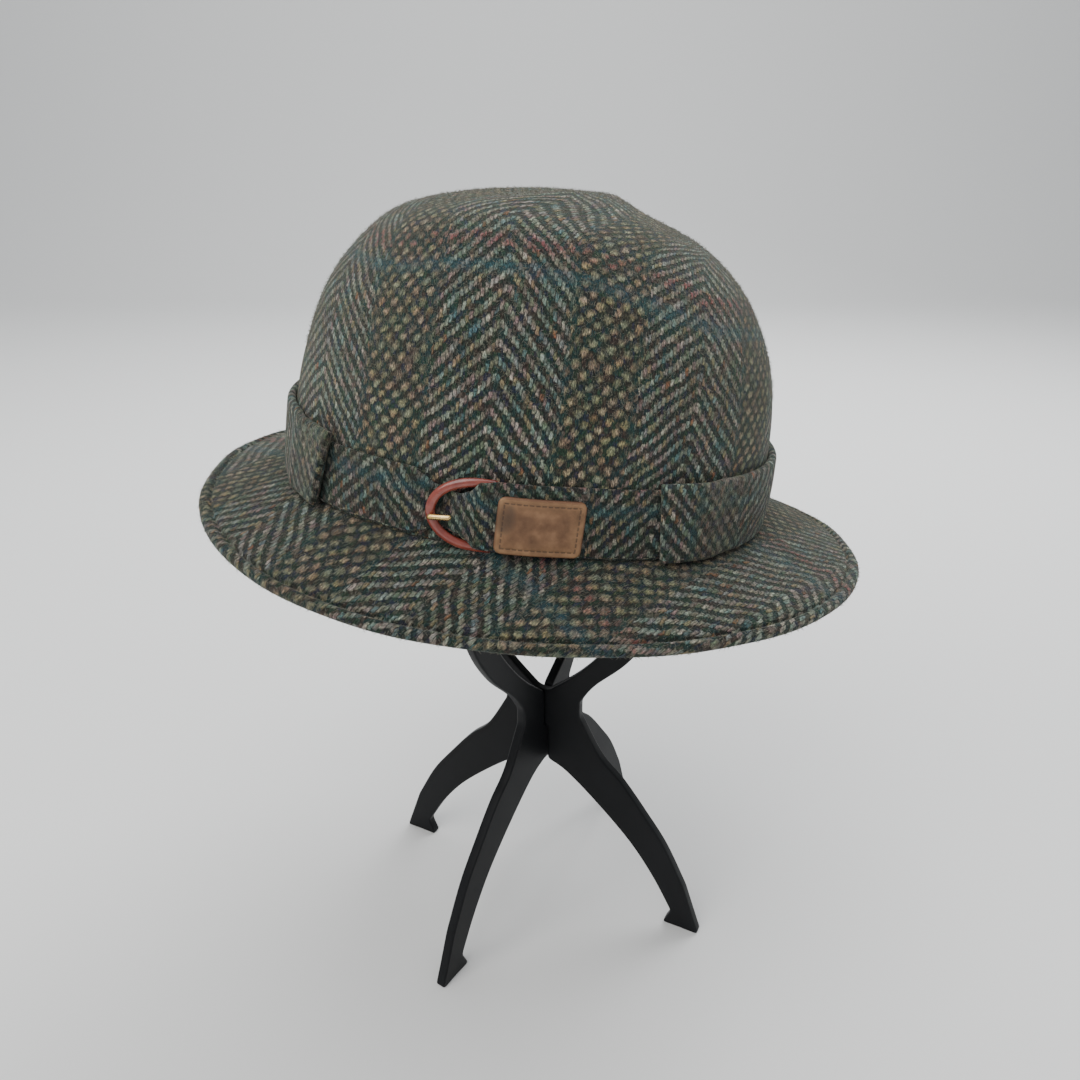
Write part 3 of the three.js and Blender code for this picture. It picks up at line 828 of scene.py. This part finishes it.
# out from the wall: the table's offset + half, and (place across) half to either side of that
def makeStrap():
    across, rise, roundUp = foldLoop(18, 6, 9)
    half = strap["thickness"] / 2
    along = np.linspace(strap["rows"][0][0], strap["rows"][-1][0], strap["stations"])
    offset, low, high = strapAt(along)
    height = low + half + rise * (high - low - 2 * half) + roundUp * half
    toEnd = np.minimum(along - along[0], along[-1] - along)
    close = np.sqrt(np.clip(1 - (1 - np.clip(toEnd / 1.0, 0, 1)) ** 2, 0, 1))
    grid = onWall(along + 0 * height, height, offset + half + across * half * close)
    cloth = np.stack([along + 0 * height, runningLength(grid, 0)], -1)
    world, meet = placeHat(grid), np.searchsorted(along, -23)  # two lengths of cloth meet at the buckle
    lengths = [(world[:, :meet + 1], cloth[:, :meet + 1]), (world[:, meet:], cloth[:, meet:] - [29, 0])]
    addPiece("strap_cloth", "strap", strapTweed, lengths)


makeStrap()

# The buckle: a half oval, two arms and a bar; an oval wire carried along that route
buckle = {
    "armStart": -19.0,
    "barAlong": -13.0,
    "reach": 16.5,
    "middle": 13.6,
    "halfHeight": 12.3,
    "wireWidth": 3.6,
    "wireDepth": 2.6,
    "leftOffset": 4.0,
    "rightOffset": 2.0,
    "steps": 260,
    "sides": 28,
}


# closed line of points at equal steps, its corners eased by averaging neighbours
def evenLoop(corners, count, passes):
    closed = np.vstack([corners, corners[:1]])
    length = runningLength(closed, 0)
    place = np.linspace(0, length[-1], count, endpoint=False)
    line = np.stack([np.interp(place, length, closed[:, axis]) for axis in range(2)], -1)
    for step in range(passes):
        line = (np.roll(line, 1, 0) + 2 * line + np.roll(line, -1, 0)) / 4
    return line


# red-brown that follows the cloud, under a clear coat
def glossMaterial():
    material, tree, shader = newMaterial("buckleGloss")
    grain = objectGrain(tree, 900.0, 130.0)
    reds = [(0.3, (0.14, 0.024, 0.017)), (0.52, (0.25, 0.050, 0.034)), (0.75, (0.36, 0.100, 0.062))]
    colour = addRamp(tree, grain.outputs["Cloud"], reds)
    tree.links.new(colour, shader.inputs["Base Color"])
    tree.links.new(calc(tree, "MULTIPLY_ADD", grain.outputs["Grain"], 0.16, 0.12), shader.inputs["Roughness"])
    addBump(tree, shader, grain.outputs["Cloud"], 0.0004, 0.3)
    setLook(shader, {
        "Coat Weight": 0.6,
        "Coat Roughness": 0.06,
    })
    return material


# route + half width cos across it, and its offset + half depth sin out from the wall
def makeBuckle():
    bend = np.linspace(0.5 * math.pi, 1.5 * math.pi, 60)
    middle, halfHeight = buckle["middle"], buckle["halfHeight"]
    archAlong = buckle["armStart"] + buckle["reach"] * np.cos(bend)
    arch = np.stack([archAlong, middle + halfHeight * np.sin(bend)], -1)
    bar = np.array([(buckle["barAlong"], middle + side * halfHeight) for side in (-1, 0, 1)])
    route = evenLoop(np.vstack([bar, arch]), buckle["steps"], 12)
    ahead = np.roll(route, -1, 0) - np.roll(route, 1, 0)
    ahead /= np.linalg.norm(ahead, axis=1)[:, None]
    turn = np.linspace(0, 2 * math.pi, buckle["sides"] + 1)[:, None]
    across = buckle["wireWidth"] / 2 * np.cos(turn)
    left = buckle["armStart"] - buckle["reach"]
    lean = (route[:, 0] - left) / (buckle["barAlong"] - left)
    offset = buckle["leftOffset"] + (buckle["rightOffset"] - buckle["leftOffset"]) * lean
    offset = offset + buckle["wireDepth"] / 2 * np.sin(turn)
    grid = onWall(route[:, 0] - ahead[:, 1] * across, route[:, 1] + ahead[:, 0] * across, offset)
    grid = np.concatenate([grid, grid[:, :1]], 1)
    grid[-1] = grid[0]
    cloth = np.stack([runningLength(grid, 1), runningLength(grid, 0)], -1)
    addPiece("buckle_frame", "buckle", glossMaterial(), [(placeHat(grid), cloth)])


makeBuckle()

# The pin: a round rod with ball ends, lying across the round side of the buckle
pin = {
    "from": -35.6,
    "to": -26.9,
    "height": 11.4,
    "rise": 1.2,
    "diameter": 2.2,
    "seat": 5.5,
    "rows": 60,
    "sides": 24,
}


# metal whose colour follows the cloud and whose roughness follows the grain
def brassMaterial():
    material, tree, shader = newMaterial("pinBrass")
    grain = objectGrain(tree, 2500.0, 300.0)
    colour = addRamp(tree, grain.outputs["Cloud"], [(0.3, (0.62, 0.40, 0.14)), (0.7, (0.86, 0.64, 0.30))])
    tree.links.new(colour, shader.inputs["Base Color"])
    tree.links.new(calc(tree, "MULTIPLY_ADD", grain.outputs["Grain"], 0.25, 0.14), shader.inputs["Roughness"])
    addBump(tree, shader, grain.outputs["Grain"], 0.0001, 0.3)
    shader.inputs["Metallic"].default_value = 1.0
    return material


# radius sqrt(1 - (1 - d / radius)^2) at a distance d under a radius from an end, whole elsewhere
def makePin():
    radius = pin["diameter"] / 2
    part = np.linspace(0, math.pi, pin["rows"])
    along = 0.5 * (pin["from"] + pin["to"]) - 0.5 * (pin["to"] - pin["from"]) * np.cos(part)
    toEnd = np.minimum(along - pin["from"], pin["to"] - along)
    size = radius * np.sqrt(np.clip(1 - (1 - np.clip(toEnd / radius, 0, 1)) ** 2, 0, 1))
    turn = np.linspace(0, 2 * math.pi, pin["sides"] + 1)[:, None]
    middle = pin["height"] + pin["rise"] * (along - pin["from"]) / (pin["to"] - pin["from"])
    grid = onWall(along + 0 * turn, middle + size * np.cos(turn), pin["seat"] + radius + size * np.sin(turn))
    grid[-1] = grid[0]
    cloth = np.stack([runningLength(grid, 1), runningLength(grid, 0)], -1)
    addPiece("pin_rod", "buckle_pin", brassMaterial(), [(placeHat(grid), cloth)])


makePin()

# The tag: rounded rectangles, each set in from the last, rising over a soft edge to a pressed border line
tag = {
    "from": -11.5,
    "to": 20.0,
    "low": 1.6,
    "high": 23.6,
    "corner": 3.0,
    "thickness": 1.5,
    "border": 2.3,
    "around": 240,
}


# tan that follows the cloud, changed by the distance to the edge and the run along the border
def leatherMaterial():
    material, tree, shader = newMaterial("tagLeather")
    grain = objectGrain(tree, 1500.0, 170.0)
    split = tree.nodes.new("ShaderNodeSeparateXYZ")
    tree.links.new(clothCoordinates(tree), split.inputs[0])
    fromLeft, upTag = split.outputs[0], split.outputs[1]
    wide, tall = tag["to"] - tag["from"], tag["high"] - tag["low"]
    sideways = calc(tree, "ABSOLUTE", calc(tree, "SUBTRACT", fromLeft, wide / 2))
    sideways = calc(tree, "SUBTRACT", wide / 2, sideways)
    upright = calc(tree, "ABSOLUTE", calc(tree, "SUBTRACT", upTag, tall / 2))
    upright = calc(tree, "SUBTRACT", tall / 2, upright)
    toEdge = calc(tree, "MINIMUM", sideways, upright)
    tans = [(0.3, (0.105, 0.050, 0.022)), (0.5, (0.172, 0.084, 0.038)), (0.72, (0.270, 0.145, 0.070))]
    colour = addRamp(tree, grain.outputs["Cloud"], tans)
    # paler where it is rubbed near the border, darker and redder at the very edge
    rubbed = calc(tree, "SUBTRACT", 1.0, calc(tree, "DIVIDE", toEdge, 6.5), clamp=True)
    rubbed = calc(tree, "MULTIPLY", rubbed, grain.outputs["Cloud"])
    colour = mixColour(tree, calc(tree, "MULTIPLY", rubbed, 0.95, clamp=True), colour, (0.34, 0.19, 0.085))
    edge = calc(tree, "SUBTRACT", 1.0, calc(tree, "DIVIDE", toEdge, 0.9), clamp=True)
    colour = mixColour(tree, calc(tree, "MULTIPLY", edge, 0.8), colour, (0.10, 0.035, 0.018))
    # painted shade over the tag's left end
    leftShadeX = calc(tree, "DIVIDE", calc(tree, "SUBTRACT", fromLeft, 3.4), 4.4)
    leftShadeY = calc(tree, "DIVIDE", calc(tree, "SUBTRACT", upTag, 13.7), 6.2)
    far = calc(tree, "ADD", calc(tree, "MULTIPLY", leftShadeX, leftShadeX), calc(tree, "MULTIPLY", leftShadeY, leftShadeY))
    far = calc(tree, "ADD", far, calc(tree, "MULTIPLY_ADD", grain.outputs["Cloud"], -2.2, 1.1))
    leftShade = calc(tree, "SUBTRACT", 1.0, far, clamp=True)
    colour = mixColour(tree, calc(tree, "MULTIPLY", leftShade, 0.75), colour, (0.035, 0.020, 0.012))
    # stitches along the border
    lineFar = calc(tree, "ABSOLUTE", calc(tree, "SUBTRACT", toEdge, tag["border"]))
    onLine = calc(tree, "SUBTRACT", 1.0, calc(tree, "DIVIDE", lineFar, 0.45), clamp=True)
    nearEnd = calc(tree, "LESS_THAN", sideways, upright)
    run = calc(tree, "MULTIPLY_ADD", nearEnd, calc(tree, "SUBTRACT", upTag, fromLeft), fromLeft)
    stitch = calc(tree, "LESS_THAN", calc(tree, "FLOORED_MODULO", run, 2.2), 1.55)
    thread = calc(tree, "MULTIPLY", onLine, stitch)
    colour = mixColour(tree, calc(tree, "MULTIPLY", thread, 0.85), colour, (0.050, 0.026, 0.014))
    tree.links.new(colour, shader.inputs["Base Color"])
    roughness = calc(tree, "MULTIPLY_ADD", grain.outputs["Cloud"], -0.25, 0.68)
    tree.links.new(roughness, shader.inputs["Roughness"])
    height = calc(tree, "MULTIPLY_ADD", thread, 0.7, grain.outputs["Grain"])
    addBump(tree, shader, height, 0.00025, 0.55)
    return material


# corner and edge points of a rounded rectangle, equally many on each side and corner
def roundedRectangle(halfLength, halfHeight, corner, count):
    turn = np.linspace(0, 2 * math.pi, count, endpoint=False)
    quarter = turn // (0.5 * math.pi)
    part = (turn % (0.5 * math.pi)) / (0.5 * math.pi)
    bend = 0.5 * math.pi * (quarter + easeStep(part, 0.3, 0.7))
    centreX = np.where((quarter == 0) | (quarter == 3), 1, -1) * (halfLength - corner)
    centreY = np.where(quarter < 2, 1, -1) * (halfHeight - corner)
    corners = np.stack([centreX + corner * np.cos(bend), centreY + corner * np.sin(bend)], -1)
    return evenLoop(corners, count, 0)


# each outline is the rectangle less its inset, at its own height above the strap
def makeTag():
    halfLength = (tag["to"] - tag["from"]) / 2
    halfHeight = (tag["high"] - tag["low"]) / 2
    turn = np.linspace(0, 0.5 * math.pi, 7)
    soft = 0.6
    faceInsets = [0.9, 1.3, 1.7, 2.0, 2.3, 2.6, 2.9, 3.3, 4, 5, 6.5, 8, 9.5, 10.8]
    insets = np.concatenate([[3, 0.6, 0.2, 0], soft * (1 - np.cos(turn)), faceInsets])
    edgeHeights = tag["thickness"] - soft * (1 - np.sin(turn))
    heights = np.concatenate([[0, 0, 0.1, 0.4], edgeHeights, np.full(len(faceInsets), tag["thickness"])])
    heights = heights - 0.22 * np.exp(-(((insets - tag["border"]) / 0.35) ** 2)) * (heights > 1.2)
    rings = np.stack([
        roundedRectangle(
            halfLength - inset, halfHeight - inset, max(tag["corner"] - inset, 0.15), tag["around"],
        )
        for inset in insets
    ])
    rings = np.concatenate([rings, rings[:, :1]], 1)
    along = rings[..., 0] + (tag["from"] + tag["to"]) / 2
    height = rings[..., 1] + (tag["low"] + tag["high"]) / 2
    seat = strapAt(along)[0] + strap["thickness"] + 0.3
    grid = onWall(along, height, seat + heights[:, None])
    cloth = np.stack([along - tag["from"], height - tag["low"]], -1)
    grids = [(placeHat(grid), cloth)]
    addPiece("tag_leather", "leather_tag", leatherMaterial(), grids, capped=True)


makeTag()

# The stand's plates: an outline with rounded edges, each half drawn from the slot down and round
stand = {
    "thickness": 5.0,
    "edgeRound": 0.9,
    "slotHalf": 3.2,
    "hubMiddle": 103.0,
    "turns": {"stand_plate_a": 55.9, "stand_plate_b": -27.2},
    "underside": [(3.2, 82), (14.5, 77), (33, 62.5), (51.5, 45), (65, 27.5), (76, 9)],
    "foot": [(72, 0), (91.7, 0)],
    "legOutside": [(82, 27), (70.5, 48.5), (59, 64), (45, 81), (33, 92.5), (21, 113)],
    "prongOutside": [
        (21, 122), (29, 134), (45.5, 151.5), (58.5, 173), (67, 202), (70, 240), (65, 284),
        (52, 322), (44, 374),
    ],
    "prongInside": [
        (32, 374), (40, 319), (52.5, 281), (57.5, 240), (54.5, 205), (47, 178), (35.5, 158),
        (20, 139), (3.2, 124),
    ],
    "points": 1500,
}


# inside the crown's hollow, or below it: the oval of the hollow at the point's height holds it
def underCrown(points):
    room = crownSurface(np.linspace(0, 1, 400), np.array([0.0, 0.5 * math.pi]), crown["wall"] + 0.5)
    x, y, z = np.moveaxis(intoHat(points), -1, 0)
    level = room[:, 0, 2]
    shift = np.interp(z, level, 0 * level + smoothRows(crown["sections"], np.linspace(0, 1, 400))[:, 3])
    halfLength = np.interp(z, level, room[:, 0, 0]) - shift
    halfWidth = np.interp(z, level, room[:, 1, 1])
    power = crown["ovalPower"]
    far = (np.abs(x - shift) / np.maximum(halfLength, 1e-3)) ** power
    far = far + (np.abs(y) / np.maximum(halfWidth, 1e-3)) ** power
    return ((far < 1) & (z < level[-1])) | (z < 0)


# near black that follows the cloud, with roughness from the grain
def blackPlastic():
    material, tree, shader = newMaterial("standPlastic")
    grain = objectGrain(tree, 2600.0, 28.0)
    blacks = [(0.3, (0.0035, 0.0040, 0.0048)), (0.7, (0.0070, 0.0076, 0.0088))]
    colour = addRamp(tree, grain.outputs["Cloud"], blacks)
    tree.links.new(colour, shader.inputs["Base Color"])
    rough = calc(tree, "MULTIPLY_ADD", grain.outputs["Cloud"], 0.22, 0.30)
    roughness = calc(tree, "MULTIPLY_ADD", grain.outputs["Grain"], 0.08, rough)
    tree.links.new(roughness, shader.inputs["Roughness"])
    addBump(tree, shader, grain.outputs["Grain"], 0.00006, 0.5)
    shader.inputs["Specular IOR Level"].default_value = 0.17
    return material


# the outline of one plate, carried through its thickness with rounded edges
def makePlate(node, slotOpensUp, material):
    turn = math.radians(stand["turns"][node])
    part = np.linspace(0, 1, 300)
    ends = []
    for side in (1, -1):
        foot = np.array(stand["foot"], float)
        pieces = [smoothRows(stand["underside"], part), foot, smoothRows(stand["legOutside"], part)]
        for name in ("prongOutside", "prongInside"):
            line = smoothRows(stand[name], part)
            reach = side * line[:, 0]
            spotX, spotY = reach * math.cos(turn) + standAxis[0], reach * math.sin(turn) + standAxis[1]
            spots = np.stack([spotX, spotY, line[:, 1]], -1)
            pieces.append(line[underCrown(spots)])
        slotEnd = np.array([(stand["slotHalf"], stand["hubMiddle"] + (-0.15 if slotOpensUp else 0.15))])
        half = np.vstack([*pieces, slotEnd] if slotOpensUp else [slotEnd, *pieces])
        ends.append(half * [side, 1])
    line = evenLoop(np.vstack([ends[0], ends[1][::-1]]), stand["points"], 3)
    ahead = np.roll(line, -1, 0) - np.roll(line, 1, 0)
    ahead /= np.linalg.norm(ahead, axis=1)[:, None]
    inward = np.stack([-ahead[:, 1], ahead[:, 0]], -1)
    after = np.roll(ahead, -1, 0)
    stride = np.linalg.norm(np.roll(line, -1, 0) - line, axis=1)
    turning = (ahead[:, 0] * after[:, 1] - ahead[:, 1] * after[:, 0]) / stride
    # less rounding at sharp tips
    room = np.clip(0.55 / np.maximum(stand["edgeRound"] * turning, 1e-6), 0.05, 1)
    room = np.min([np.roll(room, shift) for shift in range(-4, 5)], axis=0)
    room = np.mean([np.roll(room, shift) for shift in range(-3, 4)], axis=0)
    inward = inward * room[:, None]
    bend = np.linspace(0, 0.5 * math.pi, 6)
    inset = stand["edgeRound"] * (1 - np.cos(bend))
    across = stand["thickness"] / 2 - stand["edgeRound"] * (1 - np.sin(bend))
    inset = np.concatenate([inset[::-1], inset])[:, None, None]
    across = np.concatenate([-across[::-1], across])[:, None]
    flat = line + inward * inset
    flat = np.concatenate([flat, flat[:, :1]], 1)
    grid = np.stack([
        flat[..., 0] * math.cos(turn) + across * math.sin(turn) + standAxis[0],
        flat[..., 0] * math.sin(turn) - across * math.cos(turn) + standAxis[1],
        np.maximum(flat[..., 1], 0),
    ], -1)
    cloth = np.stack([runningLength(grid, 1), runningLength(grid, 0)], -1)
    name = node.replace("stand_plate", "moulded_plate")
    addPiece(name, node, material, [(grid, cloth)], capped=True)


plasticMaterial = blackPlastic()
makePlate("stand_plate_a", True, plasticMaterial)
makePlate("stand_plate_b", False, plasticMaterial)
print("stand made")

# Plain pale floor that curves up into a wall behind
stage = {"wide": 6.0, "front": -3.0, "back": 2.2, "curve": 1.2, "top": 4.5, "colour": (0.84, 0.84, 0.83)}


# a line along Y, a quarter circle and an upright line, carried straight along X
def makeStage():
    bend = np.linspace(-0.5 * math.pi, 0, 24)
    curved = stage["back"] + stage["curve"] * np.cos(bend)
    y = np.concatenate([[stage["front"]], curved, [stage["back"] + stage["curve"]]])
    z = np.concatenate([[0], stage["curve"] * (1 + np.sin(bend)), [stage["top"]]])
    x = np.linspace(-stage["wide"], stage["wide"], 9)
    wide = np.broadcast_to(x, (len(y), 9))
    grid = np.stack([wide, np.repeat(y[:, None], 9, 1), np.repeat(z[:, None], 9, 1)], -1)
    index = np.arange(grid.shape[0] * 9).reshape(-1, 9)
    quads = np.stack([index[:-1, :-1], index[:-1, 1:], index[1:, 1:], index[1:, :-1]], -1).reshape(-1, 4)
    mesh = bpy.data.meshes.new("floor_sweep")
    mesh.from_pydata(grid.reshape(-1, 3).tolist(), [], quads.tolist())
    mesh.polygons.foreach_set("use_smooth", np.ones(len(quads), bool))
    material, tree, shader = newMaterial("paleFloor")
    setLook(shader, {
        "Base Color": (*stage["colour"], 1.0),
        "Roughness": 0.75,
    })
    mesh.materials.append(material)
    floor = bpy.data.objects.new("floor_sweep", mesh)
    bpy.context.scene.collection.objects.link(floor)


makeStage()


# soft box lights aimed at the hat, and one wash aimed at the wall behind
lights = [
    {"name": "bigSoftBox", "place": (-0.9, -1.1, 1.7),
     "size": 1.6, "power": 26.0, "colour": (1.0, 0.98, 0.95)},
    {"name": "backStrip", "place": (0.9, 1.0, 1.5), "size": 1.0, "power": 16.0, "colour": (0.97, 0.98, 1.0)},
    {"name": "overhead", "place": (0.0, -0.1, 2.2), "size": 1.8, "power": 14.0, "colour": (1.0, 1.0, 1.0)},
    {"name": "backWash", "place": (0.0, 0.9, 1.6), "aim": (0.0, 2.2, 0.3),
     "size": 1.6, "power": 22.0, "colour": (0.97, 0.99, 1.0)},
]
for row in lights:
    lamp = bpy.data.lights.new(row["name"], "AREA")
    lamp.size = row["size"]
    lamp.energy = row["power"]
    lamp.color = row["colour"]
    holder = bpy.data.objects.new(row["name"], lamp)
    holder.location = row["place"]
    ahead = Vector(row.get("aim", (0, 0, 0.25))) - Vector(row["place"])
    holder.rotation_euler = ahead.to_track_quat("-Z", "Y").to_euler()
    bpy.context.scene.collection.objects.link(holder)

world = bpy.data.worlds.new("paleRoom")
world.use_nodes = True
worldShader = next(node for node in world.node_tree.nodes if node.type == "BACKGROUND")
worldShader.inputs["Color"].default_value = (0.93, 0.96, 1.0, 1.0)
worldShader.inputs["Strength"].default_value = 0.55
bpy.context.scene.world = world

cameraData = bpy.data.cameras.new("photoCamera")
cameraData.sensor_width = 36.0
cameraData.lens = 29.1
camera = bpy.data.objects.new("photoCamera", cameraData)
camera.location = (0.00246, -0.3825, 0.3706)
camera.rotation_euler = (math.radians(66.73), 0, 0)
bpy.context.scene.collection.objects.link(camera)
bpy.context.scene.camera = camera
print("lights and camera set")

bpy.context.view_layer.update()
